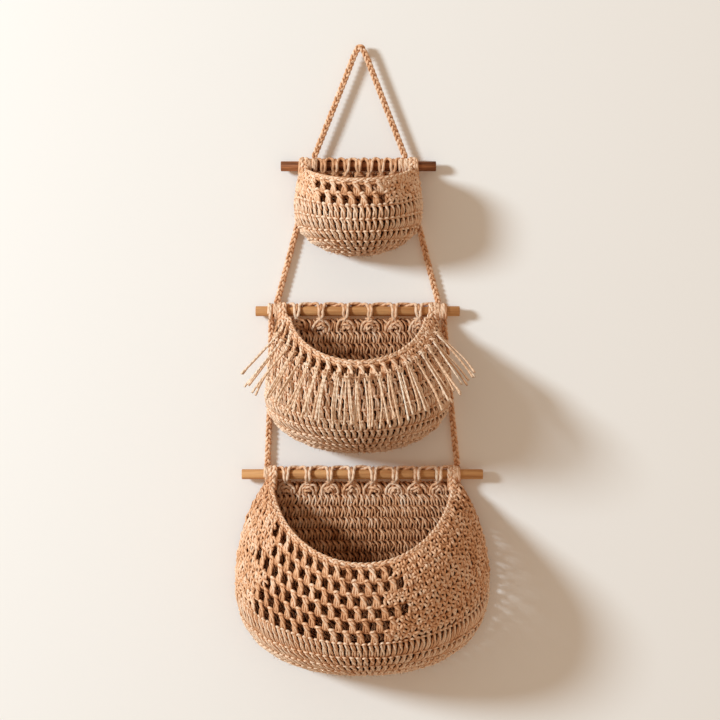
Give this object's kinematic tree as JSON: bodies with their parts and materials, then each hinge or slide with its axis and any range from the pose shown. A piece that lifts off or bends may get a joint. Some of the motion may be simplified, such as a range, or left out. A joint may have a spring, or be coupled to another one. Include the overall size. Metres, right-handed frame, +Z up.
{
  "type": "hanging fruit basket",
  "caption": "Tiered wall-hanging fruit basket: crocheted jute half-round pouches looped on wooden rods, joined by side cords, hung by a cord from one hook.",
  "frame": {"origin": "where the underside of the hanging cord's bend bears on its hook", "axes": "+Z up, +Y towards the wall behind the baskets, +X to the right seen from the room"},
  "size_m": [0.322, 0.178, 0.799],
  "materials": {
    "jute": "crocheted jute twine",
    "jute_pale": "loose cut jute twine",
    "wood_dark": "stained, matt",
    "wood_tan": "oiled, matt"
  },
  "bodies": {
    "hanger": {"hanging_cord": "jute", "hanger_wrap_left": "jute", "hanger_wrap_right": "jute"},
    "top_rod": {"top_rod": "wood_dark"},
    "upper_cords": {"upper_cord_left": "jute", "upper_cord_left_foot_wrap": "jute", "upper_cord_left_top_wrap": "jute", "upper_cord_right": "jute", "upper_cord_right_foot_wrap": "jute", "upper_cord_right_top_wrap": "jute"},
    "top_basket": {"top_back_panel": "jute", "top_corner_left": "jute", "top_corner_right": "jute", "top_pouch": "jute", "top_rim": "jute", "top_rod_loops": "jute"},
    "middle_rod": {"middle_rod": "wood_tan"},
    "lower_cords": {"lower_cord_left": "jute", "lower_cord_left_foot_wrap": "jute", "lower_cord_left_top_wrap": "jute", "lower_cord_right": "jute", "lower_cord_right_foot_wrap": "jute", "lower_cord_right_top_wrap": "jute"},
    "middle_basket": {"middle_back_panel": "jute", "middle_corner_left": "jute", "middle_corner_right": "jute", "middle_pouch": "jute", "middle_rim": "jute", "middle_rod_loops": "jute", "tassel_01": "jute_pale", "tassel_02": "jute_pale", "tassel_03": "jute_pale", "tassel_04": "jute_pale", "tassel_05": "jute_pale", "tassel_06": "jute_pale", "tassel_07": "jute_pale", "tassel_08": "jute_pale", "tassel_09": "jute_pale", "tassel_10": "jute_pale", "tassel_11": "jute_pale", "tassel_12": "jute_pale", "tassel_13": "jute_pale", "tassel_14": "jute_pale", "tassel_15": "jute_pale", "tassel_16": "jute_pale", "tassel_17": "jute_pale", "tassel_18": "jute_pale", "tassel_19": "jute_pale", "tassel_20": "jute_pale", "tassel_21": "jute_pale"},
    "bottom_rod": {"bottom_rod": "wood_tan"},
    "bottom_basket": {"bottom_back_panel": "jute", "bottom_corner_left": "jute", "bottom_corner_right": "jute", "bottom_pouch": "jute", "bottom_rim": "jute", "bottom_rod_loops": "jute"}
  },
  "joints": [
    {"name": "top_rod_slide", "type": "slide", "parent": "hanger", "child": "top_rod", "axis": [1, 0, 0], "range_m": [-0.02, 0.02]},
    {"name": "upper_cords_swing", "type": "hinge", "parent": "hanger", "child": "upper_cords", "pos_m": [-0.002, 0, -0.15], "axis": [-1, 0, 0], "range_deg": [0, 40]},
    {"name": "top_basket_swing", "type": "hinge", "parent": "upper_cords", "child": "top_basket", "pos_m": [-0.002, 0, -0.15], "axis": [-1, 0, 0], "range_deg": [0, 40]},
    {"name": "middle_rod_slide", "type": "slide", "parent": "upper_cords", "child": "middle_rod", "axis": [1, 0, 0], "range_m": [-0.012, 0.012]},
    {"name": "lower_cords_swing", "type": "hinge", "parent": "upper_cords", "child": "lower_cords", "pos_m": [-0.003, 0, -0.334], "axis": [-1, 0, 0], "range_deg": [0, 25]},
    {"name": "middle_basket_swing", "type": "hinge", "parent": "lower_cords", "child": "middle_basket", "pos_m": [-0.003, 0, -0.334], "axis": [-1, 0, 0], "range_deg": [0, 30]},
    {"name": "bottom_rod_slide", "type": "slide", "parent": "lower_cords", "child": "bottom_rod", "axis": [1, 0, 0], "range_m": [-0.02, 0.02]},
    {"name": "bottom_basket_swing", "type": "hinge", "parent": "lower_cords", "child": "bottom_basket", "pos_m": [0.003, 0, -0.541], "axis": [-1, 0, 0], "range_deg": [0, 45]}
  ]
}
